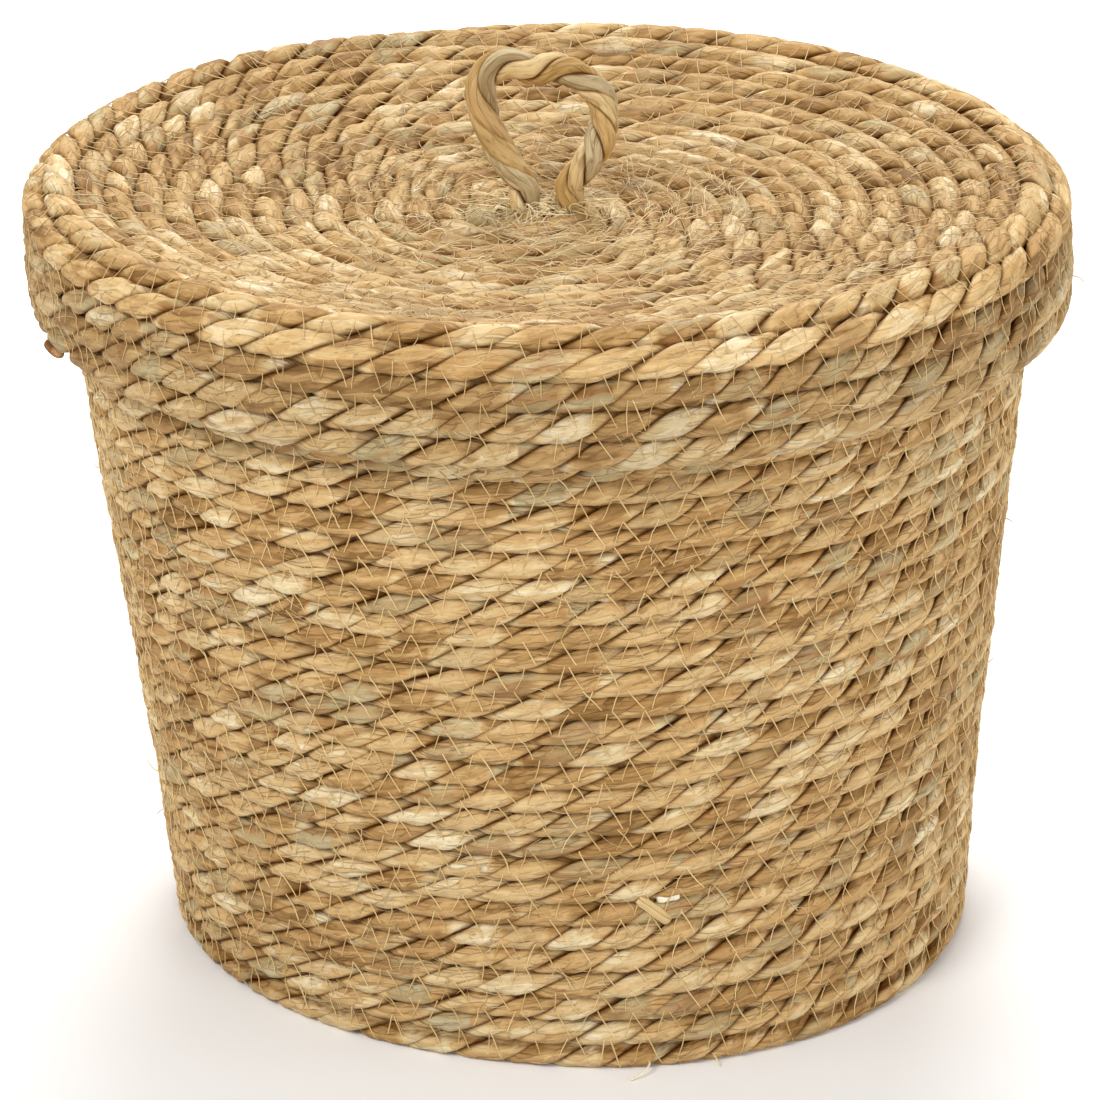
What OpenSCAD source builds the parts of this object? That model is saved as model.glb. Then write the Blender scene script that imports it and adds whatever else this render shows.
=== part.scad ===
// Round lidded laundry basket, coiled from twisted seagrass rope and sewn with thread.
// Millimetres, +Z up. The origin is the centre of the round sole that stands on the floor.
// Every course of rope is drawn as a ring; the sewing thread lies in the grooves between courses.

/* [Basket rope] */
// Thickness of the rope in the base and wall
body_rope_d = 11.2; // [10.9:0.1:11.4]
// Height from one wall course to the next
body_pitch = 10.7; // [10.5:0.05:10.8]
// Outer radius of the wall at the floor
foot_r = 173.6; // [168:0.2:174]
// Straight part of the wall's flare, outward per millimetre of height
flare_slope = 0.075; // [0.05:0.005:0.08]
// Curved part of the wall's flare, outward per square millimetre of height
flare_curve = 0.00016; // [0.0001:0.00001:0.00017]
// Largest outer radius of the wall, which the lid's skirt has to pass over
neck_r = 206.2; // [205:0.1:206.3]

/* [Lid rope] */
// Thickness of the rope in the lid
lid_rope_d = 13; // [12.8:0.1:13.1]
// Distance from one course of the lid to the next
lid_pitch = 12.5; // [12.4:0.05:12.6]
// Height of the shoulder course's centre above the floor
shoulder_z = 331; // [331:0.5:340]
// How far the middle of the lid sinks below its shoulder
dish_depth = 21; // [15:0.5:22]
// Radius of the flat middle of the dish
dish_flat_r = 60; // [50:1:70]

/* [Handle] */
// Distance between the loop's two legs, centre to centre
leg_spacing = 18.6; // [18.4:0.1:20]
// Thickness of a leg where it goes through the lid
leg_d = 12.4; // [12:0.1:12.4]
// Half of the loop's width, to the middle of the rope
loop_half_w = 26; // [25:0.5:30]
// Height of the loop above its pivot, to the middle of the rope
loop_h = 55.5; // [54:0.5:60]
// Thickness of one of the three plies
ply_d = 5.4; // [5:0.1:5.4]
// Turns that the plies make round each other from leg to leg
ply_turns = 3.25; // [3:0.25:3.5]

/* [Thread] */
// Thickness of the sewing thread
thread_d = 1.2; // [0.8:0.1:1.4]

/* [Hidden] */

$fn = 96;
// Clearance between two pieces of the basket that lie against each other
touch_gap = 0.1;
// Clearance between the thread and the two courses that it lies between
thread_gap = 0.03;

// The wall's courses, numbered from the floor, and the first course of each length of rope
wall_courses = 30;
middle_start = 7;
upper_start = 18;
rim_start = 29;

body_rope_r = body_rope_d / 2;
lid_rope_r = lid_rope_d / 2;
thread_r = thread_d / 2;
thread_sides = 6;
// The rope is pressed flat where it stands on the floor, by this much
sole_flat = 0.4;
first_course_z = body_rope_r - sole_flat;
join_extra = body_rope_d + touch_gap - body_pitch;

function joins_below(i) = (i >= middle_start ? 1 : 0) + (i >= upper_start ? 1 : 0)
    + (i >= rim_start ? 1 : 0);
function wall_z(i) = first_course_z + i * body_pitch + joins_below(i) * join_extra;
function flare(z) = foot_r + flare_slope * z + flare_curve * z * z;
function wall_point(i) = [min(flare(wall_z(i)), neck_r) - body_rope_r, wall_z(i)];
function wall_points(first, last) = [for (i = [first:last]) wall_point(i)];

// The base's courses, from the one beside the wall to the one round the eye
base_courses = 14;
base_outer_r = wall_point(0)[0] - body_rope_d - touch_gap;
base_points = [for (k = [0:base_courses]) [base_outer_r - k * body_pitch, first_course_z]];
base_eye_r = base_points[base_courses][0];

// The lid: a shoulder ring, a skirt below it, and a dished disc inside it
shoulder_r = 203;
dish_power = 2.4;
dish_span = shoulder_r - dish_flat_r;
lid_courses = 15;
function dish_t(r) = max(0, (r - dish_flat_r) / dish_span);
function dish_z(r) = shoulder_z - dish_depth * (1 - pow(dish_t(r), dish_power));
function dish_slope(r) = dish_depth * dish_power / dish_span * pow(dish_t(r), dish_power - 1);
// The next course inward, one step down the dish; the first step leaves the joint with the shoulder
function next_r(r, step) = r - step / sqrt(1 + pow(dish_slope(r), 2));
function disc_radii(n, r) = n == 0 ? [] : concat([r], disc_radii(n - 1, next_r(r, lid_pitch)));
disc_start_r = next_r(shoulder_r, lid_rope_d + 3 * touch_gap);
disc_points = [for (r = disc_radii(lid_courses, disc_start_r)) [r, dish_z(r)]];
disc_floor_z = shoulder_z - dish_depth;
disc_top_z = disc_floor_z + lid_rope_r;
disc_eye_r = disc_points[lid_courses - 1][0];

shoulder_points = [[shoulder_r, shoulder_z], [213.2, shoulder_z - 7.2]];
skirt_top_z = shoulder_points[1][1] - lid_rope_d - touch_gap;
skirt_points = [
    [214.6, skirt_top_z],
    [215, skirt_top_z - lid_pitch],
    [213.5, skirt_top_z - 2 * lid_pitch + 0.1]
];

// The handle's pivot lies just above the disc, level with the feet of the loop
root_r = 6.2;
pivot_z = disc_top_z + 9;
leg_x = leg_spacing / 2;
leg_top_z = pivot_z - root_r - 0.4;
knot_rope_r = 4.5;
knot_ring_r = leg_x + leg_d / 2 + knot_rope_r + 0.4;
knot_z = disc_floor_z - lid_rope_r - knot_rope_r - 0.3;
leg_bottom_z = knot_z - 3;

// Centre line of the loop: two quarter curves on each side, in the XZ plane, above the pivot
waist_z = 0.64 * loop_h;
rise = [[leg_x, 0], [leg_x + 5, 0.22 * loop_h], [loop_half_w, 0.42 * loop_h], [loop_half_w, waist_z]];
crown = [[loop_half_w, waist_z], [loop_half_w, 0.86 * loop_h], [0.55 * loop_half_w, loop_h], [0, loop_h]];
function bezier(p, t) = pow(1 - t, 3) * p[0] + 3 * pow(1 - t, 2) * t * p[1]
    + 3 * (1 - t) * t * t * p[2] + pow(t, 3) * p[3];
function right_half(t) = t < 1 ? bezier(rise, t) : bezier(crown, t - 1);
function loop_point(t) = t < 2 ? right_half(t) : [-1, 1] * [[right_half(4 - t)[0], 0], [0, right_half(4 - t)[1]]];
function unit(v) = v / norm(v);
function loop_tangent(t) = unit(loop_point(t + 0.01) - loop_point(t - 0.01));

// A ply winds round the centre line at this distance, clear of the other two
ply_r = ply_d / 2;
wind_r = 3.7;
ply_start = 0.19;
ply_rings = 72;
ply_sides = 8;
function ply_centre(t, phase) =
    let (p = loop_point(t), d = loop_tangent(t), a = phase + 360 * ply_turns * t / 4)
    [p[0] - wind_r * cos(a) * d[1], wind_r * sin(a), pivot_z + p[1] + wind_r * cos(a) * d[0]];
function ply_ring(t, phase) =
    let (
        c = ply_centre(t, phase),
        along = unit(ply_centre(t + 0.01, phase) - ply_centre(t - 0.01, phase)),
        side = unit(cross(along, [0, 1, 0])),
        up = cross(side, along)
    )
    [for (k = [0:ply_sides - 1]) c + ply_r * (cos(360 * k / ply_sides) * side + sin(360 * k / ply_sides) * up)];

// Rings of rope, one round each point of a list of [radius, height]
module rope_rings(points, rope_r) {
    rotate_extrude()
        for (p = points)
            translate(p)
                circle(r = rope_r);
}

// Thread in the grooves on both faces of a run of courses
module groove_threads(points, rope_r) {
    rotate_extrude()
        for (i = [0:len(points) - 2], face = [-1, 1]) {
            step = points[i + 1] - points[i];
            reach = rope_r + thread_r + thread_gap;
            depth = sqrt(reach * reach - norm(step) * norm(step) / 4);
            translate((points[i] + points[i + 1]) / 2 + face * depth * unit([step[1], -step[0]]))
                circle(r = thread_r, $fn = thread_sides);
        }
}

// A short free end of rope that follows a course, from one bearing to another
module rope_end(ring_r, z, rope_r, from_angle, to_angle) {
    rotate([0, 0, from_angle])
        rotate_extrude(angle = to_angle - from_angle)
            translate([ring_r, z])
                circle(r = rope_r);
}

// One ply of the handle, swept along the loop
module handle_ply(phase) {
    last = ply_rings - 1;
    times = [for (i = [0:last]) ply_start + (4 - 2 * ply_start) * i / last];
    rings = [for (t = times) each ply_ring(t, phase)];
    sides = [for (i = [0:last - 1], k = [0:ply_sides - 1])
        let (a = i * ply_sides + k, b = i * ply_sides + (k + 1) % ply_sides)
        [a, a + ply_sides, b + ply_sides, b]];
    foot = [for (k = [0:ply_sides - 1]) k];
    tip = [for (k = [ply_sides - 1:-1:0]) last * ply_sides + k];
    polyhedron(points = rings, faces = concat([foot, tip], sides));
}

// The leg of the loop that goes down through the disc
module handle_leg(x) {
    translate([x, 0, leg_bottom_z])
        cylinder(d = leg_d, h = leg_top_z - leg_bottom_z);
}

// Everything below this height is pressed flat by the floor
module above_floor() {
    difference() {
        children();
        translate([0, 0, -10])
            cylinder(r = foot_r + 10, h = 10);
    }
}

module base_rope() {
    color("burlywood")
        rotate_extrude()
            difference() {
                union() {
                    for (p = base_points)
                        translate(p)
                            circle(r = body_rope_r);
                    square([base_eye_r, body_rope_d - 2]);
                }
                translate([0, -10])
                    square([foot_r, 10]);
            }
}

module wall_rope_lower() {
    color("tan")
        above_floor()
            rope_rings(wall_points(0, middle_start - 1), body_rope_r);
}

module wall_rope_middle() {
    color("burlywood")
        rope_rings(wall_points(middle_start, upper_start - 1), body_rope_r);
}

module wall_rope_upper() {
    color("tan")
        rope_rings(wall_points(upper_start, rim_start - 1), body_rope_r);
}

module rim_rope() {
    color("peru")
        rope_rings(wall_points(rim_start, wall_courses - 1), body_rope_r);
}

module base_stitching() {
    color("goldenrod")
        groove_threads(concat([wall_point(0)], base_points), body_rope_r);
}

module wall_stitching() {
    color("goldenrod")
        groove_threads(wall_points(0, wall_courses - 1), body_rope_r);
}

// A stub of a spliced length, lying in the groove outside the join
module wall_splice_end() {
    end_r = 2.4;
    below = wall_point(middle_start - 1);
    reach = body_rope_r + end_r + touch_gap;
    half_step = (body_rope_d + touch_gap) / 2;
    color("darkkhaki")
        rope_end(below[0] + sqrt(reach * reach - half_step * half_step) + 1,
            below[1] + half_step, end_r, 277, 284);
}

// The tapered last end of the wall's rope, laid inside the rim
module rim_rope_end() {
    end_r = 3;
    rim = wall_point(rim_start);
    color("peru")
        rope_end(rim[0] - body_rope_r - end_r - 0.2, rim[1] - 1, end_r, 84, 96);
}

module lid_disc_rope() {
    color("wheat")
        difference() {
            union() {
                rope_rings(disc_points, lid_rope_r);
                translate([0, 0, disc_floor_z - lid_rope_r + 1.5])
                    cylinder(r = disc_eye_r, h = lid_rope_d - 3);
            }
            for (x = [-leg_x, leg_x])
                translate([x, 0, disc_floor_z - lid_rope_d])
                    cylinder(r = leg_d / 2 + touch_gap, h = 2 * lid_rope_d);
        }
}

module lid_shoulder_rope() {
    color("burlywood")
        rope_rings(shoulder_points, lid_rope_r);
}

module lid_skirt_rope() {
    color("tan")
        rope_rings(skirt_points, lid_rope_r);
}

module lid_disc_stitching() {
    color("goldenrod")
        groove_threads(concat([shoulder_points[0]], disc_points), lid_rope_r);
}

module lid_skirt_stitching() {
    color("goldenrod")
        groove_threads(concat(shoulder_points, skirt_points), lid_rope_r);
}

// The free end of the skirt's last course, hanging just below it
module skirt_rope_end() {
    end_r = 2.8;
    reach = lid_rope_r + end_r + 2 * touch_gap;
    last = skirt_points[2];
    color("sienna")
        rope_end(last[0] + reach * cos(55), last[1] - reach * sin(55), end_r, 198.2, 200.4);
}

module handle_leg_left() {
    color("rosybrown")
        handle_leg(-leg_x);
}

module handle_leg_right() {
    color("rosybrown")
        handle_leg(leg_x);
}

// The tails of the loop, wound round both legs below the disc
module handle_knot() {
    color("tan")
        rope_rings([[knot_ring_r, knot_z]], knot_rope_r);
}

// The frayed tuft that lies on the disc round the feet of the loop
module handle_fringe() {
    fringe_h = 1.6;
    fringe_w = 17;
    color("khaki")
        translate([0, 0, disc_top_z + 0.2])
            rotate_extrude()
                translate([leg_x + leg_d / 2 + 0.4, 0])
                    square([fringe_w, fringe_h]);
}

module handle_root_left() {
    color("tan")
        translate([-leg_x, 0, pivot_z])
            sphere(r = root_r);
}

module handle_root_right() {
    color("tan")
        translate([leg_x, 0, pivot_z])
            sphere(r = root_r);
}

module handle_ply_grey() {
    color("darkgray")
        handle_ply(240);
}

module handle_ply_tan() {
    color("tan")
        handle_ply(0);
}

module handle_ply_gold() {
    color("goldenrod")
        handle_ply(120);
}

base_rope();
wall_rope_lower();
wall_rope_middle();
wall_rope_upper();
rim_rope();
base_stitching();
wall_stitching();
wall_splice_end();
rim_rope_end();
lid_disc_rope();
lid_shoulder_rope();
lid_skirt_rope();
lid_disc_stitching();
lid_skirt_stitching();
skirt_rope_end();
handle_leg_left();
handle_leg_right();
handle_knot();
handle_fringe();
handle_root_left();
handle_root_right();
handle_ply_grey();
handle_ply_tan();
handle_ply_gold();
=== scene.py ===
"""The looks of a round lidded seagrass basket, in metres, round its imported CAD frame.

Two coils of two-ply rope are laid ring by ring: one makes the base and wall, the other the lid.
Each ply is a swept mesh. Sewing thread, stray fibres and the three-ply handle are laid on the ropes.
"""

import math

import bpy
import numpy as np
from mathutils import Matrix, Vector
from mathutils.bvhtree import BVHTree


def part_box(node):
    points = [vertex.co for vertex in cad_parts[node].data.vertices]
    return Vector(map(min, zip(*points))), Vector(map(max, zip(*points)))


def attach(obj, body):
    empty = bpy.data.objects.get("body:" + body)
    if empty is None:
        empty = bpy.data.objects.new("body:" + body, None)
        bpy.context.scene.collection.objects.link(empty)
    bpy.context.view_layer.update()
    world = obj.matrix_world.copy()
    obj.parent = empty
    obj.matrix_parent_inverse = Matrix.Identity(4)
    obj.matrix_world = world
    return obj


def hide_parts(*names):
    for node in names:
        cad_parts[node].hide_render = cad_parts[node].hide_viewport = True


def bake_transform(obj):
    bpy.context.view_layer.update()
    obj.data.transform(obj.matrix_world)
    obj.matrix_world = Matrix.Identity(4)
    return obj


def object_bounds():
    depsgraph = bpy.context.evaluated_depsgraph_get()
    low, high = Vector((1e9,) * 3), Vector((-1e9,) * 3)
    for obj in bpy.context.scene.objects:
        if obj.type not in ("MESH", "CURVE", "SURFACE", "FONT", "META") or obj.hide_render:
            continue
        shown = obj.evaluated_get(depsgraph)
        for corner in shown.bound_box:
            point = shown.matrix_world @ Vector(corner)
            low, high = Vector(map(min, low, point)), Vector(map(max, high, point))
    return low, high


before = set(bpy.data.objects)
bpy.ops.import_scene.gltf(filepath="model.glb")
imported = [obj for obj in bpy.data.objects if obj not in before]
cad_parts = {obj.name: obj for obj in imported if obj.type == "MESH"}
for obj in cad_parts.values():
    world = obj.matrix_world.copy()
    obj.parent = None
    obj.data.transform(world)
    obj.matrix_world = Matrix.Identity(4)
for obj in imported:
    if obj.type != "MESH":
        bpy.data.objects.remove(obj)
cad_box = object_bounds()

MM = 0.001
UP = np.array((0.0, 0.0, 1.0))

# -------- sizes

# Lean of the soft basket to one side: how far its foot and its shoulder stand off the centre line
FOOT_LEAN = 5.5 * MM
SHOULDER_LEAN = -5.5 * MM
SHOULDER_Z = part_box("lid_shoulder_rope")[1].z
# The soft foot also bulges a little toward the front
FOOT_BULGE = 10 * MM
BULGE_BEARING = math.radians(-66)
BULGE_HEIGHT = 80 * MM
FOOT_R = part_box("wall_rope_lower")[1].x

# Basket rope, read from the rim, which is a single ring
rim_lo, rim_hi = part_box("rim_rope")
BODY_ROPE_R = (rim_hi.z - rim_lo.z) / 2
BODY_LAY = 45 * MM
WALL_COURSES = 30
BASE_COURSES = 15
BASE_PITCH = 10.7 * MM
JOIN_GAP = 0.1 * MM

# Lid rope and the rings that it is laid in
LID_ROPE_R = 6.5 * MM
LID_LAY = 47 * MM
# The soft disc's courses lie a little further apart than the 12.5 mm of the CAD rings
DISC_STEP = 12.5 * MM * 1.02
DISC_COURSES = 15
DISH_FLAT_R = 60 * MM
DISH_POWER = 2.4
SHOULDER_R = 205.5 * MM
# The soft shoulder has sunk and spread by these much, and the course under it too
SHOULDER_SINK = 1.5 * MM
SECOND_SPREAD, SECOND_SINK = 1.0 * MM, 1.0 * MM
SKIRT_COURSES = 3
# How far each of the skirt's courses lies inside the widest, from the top down
SKIRT_TUCKS = (0.4 * MM, 0.0, 1.5 * MM)

# The share of a turn in which the rope climbs to the next ring, and where that turn starts
CLIMB_SHARE = 1 / 6
COIL_START = math.radians(130)
STEP = 3.0 * MM
# The fibre pressed in between the courses, coloured dark as painted shade: a sheet with a small hole at its
# eye
PACKING_THICKNESS = 1.6 * MM
PACKING_EYE = 0.5 * MM
PACKING_SIDES = 120

# A ply's half width, half thickness and distance from the rope's centre, as shares of the rope's radius
PLY_WIDE = 0.90
PLY_THICK = 0.56
PLY_OFFSET = 0.45
PLY_SIDES = 14
# The section's corners: 1 makes an ellipse, less makes it fuller
PLY_SQUARE = 0.72
# Pressed plies stand no further out than this share of the rope's radius
ROPE_REACH = 1.06
# How far a ply's leaves turn back against the rope's twist
LEAF_UNTWIST = 0.25
# Corners of the sections of a leaf strip and of a cut end
STRIP_SIDES = 10
CUT_SIDES = 20

# Sewing thread, and its zigzag in millimetres: a falling stroke's width, the gap at its foot, a rising one's
BODY_THREAD_R = 0.29 * MM
LID_THREAD_R = 0.24 * MM
STITCH_PITCH = 14.5 * MM
# How deep a stroke's ends go into the rope
STITCH_ROOT = 1.2 * MM
WALL_ZIGZAG = (5.8, 3.2, 3.8)
LID_ZIGZAG = (6.4, 2.6, 1.8)

# Handle
leg_lo, leg_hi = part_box("handle_leg_right")
root_lo, root_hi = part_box("handle_root_right")
LEG_X = (leg_lo.x + leg_hi.x) / 2
PIVOT_Z = (root_lo.z + root_hi.z) / 2
# The soft loop's centre line, in millimetres right of the middle and above the pivot, from foot to foot
LOOP_BENDS = [(9.3, 0), (13.5, 6.0), (20.0, 15.0), (24.0, 27.0), (22.5, 38.5), (15.0, 46.5), (6.0, 51.5),
              (-6.0, 51.0), (-16.5, 54.0), (-25.0, 49.5), (-27.8, 40.0), (-25.0, 27.0), (-18.5, 14.0),
              (-12.5, 5.0), (-9.3, 0)]
# Turns of the handle's plies if they were even, and the turns more that are wound into its right half
PLY_TURNS = 2.95
RIGHT_TURNS = 0.6
HANDLE_ROPE_R = 6.8 * MM
HANDLE_PLY_OFFSET = 3.3 * MM
HANDLE_PLY_THICK = 3.0 * MM
HANDLE_PLY_WIDE = 4.3 * MM
HANDLE_PLY_SIDES = 24
HANDLE_PLY_SQUARE = 0.85
HANDLE_UNTWIST = 0.15

knot_lo, knot_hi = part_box("handle_knot")


# -------- small tools

def smooth(x):
    """0 below 0, 1 above 1, and an even curve between."""
    x = np.clip(x, 0, 1)
    return x * x * (3 - 2 * x)


def wander(lengths, wavelength, seed):
    """A smooth random curve between -1 and 1 along the lengths."""
    rng = np.random.default_rng(seed)
    place = lengths / wavelength
    cell = place.astype(int)
    knots = rng.uniform(-1, 1, cell.max() + 2)
    share = smooth(place - cell)
    return knots[cell] * (1 - share) + knots[cell + 1] * share


def ridges(angle, lengths, count, wavelength, seed):
    """Smooth random ridges between -1 and 1 that run along a ply: count of them round it."""
    rng = np.random.default_rng(seed)
    across = (angle / math.tau % 1) * count
    along = np.broadcast_to(lengths / wavelength, across.shape)
    i, j = across.astype(int) % count, along.astype(int)
    knots = rng.uniform(-1, 1, (j.max() + 2, count))
    u, v = smooth(across - np.floor(across)), smooth(along - j)
    near = knots[j, i] * (1 - u) + knots[j, (i + 1) % count] * u
    far = knots[j + 1, i] * (1 - u) + knots[j + 1, (i + 1) % count] * u
    return near * (1 - v) + far * v


def strand_tones(phase, seed):
    """Two random values for each half turn of a ply. They change where the ply dips between two courses."""
    halves = -phase / math.pi
    halves = halves - math.floor(halves.min()) + 0.5
    cell = halves.astype(int)
    values = np.random.default_rng(seed).random((cell.max() + 2, 2))
    share = smooth((halves - cell - 0.85) / 0.15)[:, None]
    return values[cell] * (1 - share) + values[cell + 1] * share


def leaf_place(out_part, side_part, turned, along):
    """Where points lie in a leaf whose fibres are turned against the section that they are given in."""
    fibre = np.empty(out_part.shape + (3,))
    fibre[..., 0] = out_part * np.cos(turned) - side_part * np.sin(turned)
    fibre[..., 1] = out_part * np.sin(turned) + side_part * np.cos(turned)
    fibre[..., 2] = along
    return fibre


def unit(vectors):
    """The vectors at a length of 1."""
    return vectors / np.maximum(np.linalg.norm(vectors, axis=-1, keepdims=True), 1e-12)


def within(vectors, limit):
    """The vectors, the long ones shortened to the limit."""
    size = np.linalg.norm(vectors, axis=-1, keepdims=True)
    return vectors * np.minimum(1, limit / np.maximum(size, 1e-9))


def corners(sides):
    """Angles of a section's corners, evenly round it."""
    return np.arange(sides) * math.tau / sides


def lengths_along(path):
    """The length along a path at each of its points."""
    return np.concatenate(([0], np.cumsum(np.linalg.norm(np.diff(path, axis=0), axis=1))))


def sides_of(path, outs):
    """Unit vectors to the side of a path and outward from it, at right angles to its run."""
    along = unit(np.gradient(path, axis=-2))
    side = unit(np.cross(along, outs))
    return side, np.cross(side, along)


def turned(first, second, angle):
    """Two crossed directions, turned by an angle from the first toward the second."""
    c, s = np.cos(angle), np.sin(angle)
    return c * first + s * second, c * second - s * first


def pull_taut(heights, rounds):
    """Rows of heights with their dips filled, as a thread fills them when it is pulled."""
    taut = heights.copy()
    for _ in range(rounds):
        taut[..., 1:-1] = np.maximum(taut[..., 1:-1], (taut[..., :-2] + taut[..., 2:]) / 2)
    return taut


def section(turn, square):
    """Outward and sideways parts of the corners of a ply's section. An ellipse has a square of 1."""
    c, s = np.cos(turn), np.sin(turn)
    return np.sign(c) * np.abs(c) ** square, np.sign(s) * np.abs(s) ** square


def lean(points):
    """The points moved sideways with the basket's lean at their height, and with the bulge of its foot."""
    height = np.clip(points[..., 2] / SHOULDER_Z, 0, 1)
    toward = np.array((math.cos(BULGE_BEARING), math.sin(BULGE_BEARING)))
    facing = np.clip(points[..., :2] @ toward / FOOT_R, 0, 1)
    bulge = FOOT_BULGE * facing ** 4 * smooth(1 - points[..., 2] / BULGE_HEIGHT)
    moved = points.copy()
    moved[..., 0] += FOOT_LEAN + (SHOULDER_LEAN - FOOT_LEAN) * height
    moved[..., :2] += bulge[..., None] * toward
    return moved


# The two values of a piece that is a single leaf
PLAIN_TONE = (0.6, 0.3)


def build_mesh(name, points, faces, material, fibre, light=None, tone=None):
    """One smooth mesh object. faces is a list of arrays, one row of corners per face. fibre places each point
    across and along its leaf, light is 1 on open surfaces and 0 deep in the grooves, where it paints shade
    into the colour, and tone is the two random values of the strand that the point lies on."""
    mesh = bpy.data.meshes.new(name)
    order = np.concatenate([f.ravel() for f in faces])
    sizes = np.concatenate([np.full(len(f), f.shape[1]) for f in faces])
    starts = np.concatenate(([0], np.cumsum(sizes)[:-1]))
    mesh.vertices.add(len(points))
    mesh.vertices.foreach_set("co", points.astype(np.float32).ravel())
    mesh.loops.add(len(order))
    mesh.loops.foreach_set("vertex_index", order.astype(np.int32))
    mesh.polygons.add(len(sizes))
    mesh.polygons.foreach_set("loop_start", starts.astype(np.int32))
    mesh.update(calc_edges=True)
    mesh.validate()
    mesh.polygons.foreach_set("use_smooth", np.ones(len(mesh.polygons), bool))
    if tone is None:
        tone = np.tile(PLAIN_TONE, (len(points), 1))
    tone = np.column_stack((tone.reshape(-1, 2), np.zeros(len(points))))
    for label, kind, field, values in (("fibre", "FLOAT_VECTOR", "vector", fibre),
                                       ("light", "FLOAT", "value", light),
                                       ("tone", "FLOAT_VECTOR", "vector", tone)):
        if values is not None:
            attribute = mesh.attributes.new(label, kind, "POINT")
            attribute.data.foreach_set(field, values.astype(np.float32).ravel())
    mesh.materials.append(material)
    piece = bpy.data.objects.new(name, mesh)
    bpy.context.scene.collection.objects.link(piece)
    return piece


def tube_faces(tubes, rings, sides):
    """The sides and both ends of tubes whose points are ordered tube, ring, corner."""
    t, r, k = np.meshgrid(np.arange(tubes), np.arange(rings - 1), np.arange(sides), indexing="ij")
    first = (t * rings + r) * sides
    a, b = first + k, first + (k + 1) % sides
    quads = np.stack((a, b, b + sides, a + sides), -1).reshape(-1, 4)
    foot = np.arange(tubes)[:, None] * rings * sides + np.arange(sides)[::-1]
    tip = (np.arange(tubes)[:, None] + 1) * rings * sides - sides + np.arange(sides)
    return [quads, np.concatenate((foot, tip))]


def ply_section(out, side, phase, sizes, turn, relief, square, untwist, along, limit):
    """A ply's offsets from the rope's centre, and where they lie in its leaf. sizes are the ply's distance
    from the centre, its half thickness and its half width."""
    outward, across = turned(out, side, phase)
    out_part, side_part = section(turn, square)
    offset, thick, wide = sizes
    reach = offset + thick * out_part * relief
    spread = wide * side_part * relief
    offsets = within(reach[..., None] * outward[:, None] + spread[..., None] * across[:, None], limit)
    return offsets, leaf_place(thick * out_part, wide * side_part, phase * (1 + untwist), along)


def place(piece, body, slot, nodes=()):
    """The piece rides on a body and stands in for CAD nodes. Its slot is not used."""
    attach(piece, body)
    if nodes:
        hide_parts(*nodes)


def thin_tubes(name, paths, normals, radii, sides, material):
    """Many thin tubes as one piece. paths and normals are (tubes, points, 3), radii (tubes, points)."""
    side, up = sides_of(paths, normals)
    turn = corners(sides)
    ring = np.cos(turn)[:, None] * side[:, :, None] + np.sin(turn)[:, None] * up[:, :, None]
    points = paths[:, :, None] + radii[:, :, None, None] * ring
    points[..., 2] = np.maximum(points[..., 2], 0)
    tubes, rings = paths.shape[:2]
    lengths = np.cumsum(np.linalg.norm(np.diff(paths, axis=1, prepend=paths[:, :1]), axis=-1), axis=1)
    fibre = np.zeros(points.shape)
    fibre[..., 0] = 0.5 * MM * np.cos(turn)
    fibre[..., 1] = 0.5 * MM * np.sin(turn)
    fibre[..., 2] = (lengths + np.arange(tubes)[:, None] * 37 * MM)[..., None]
    return build_mesh(name, lean(points.reshape(-1, 3)), tube_faces(tubes, rings, sides),
                      material, fibre.reshape(-1, 3))


# -------- materials

def rgb(text):
    """Linear colour of a hex sRGB colour."""
    values = [int(text[i:i + 2], 16) / 255 for i in (0, 2, 4)]
    return [v / 12.92 if v < 0.04045 else ((v + 0.055) / 1.055) ** 2.4 for v in values] + [1.0]


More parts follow.
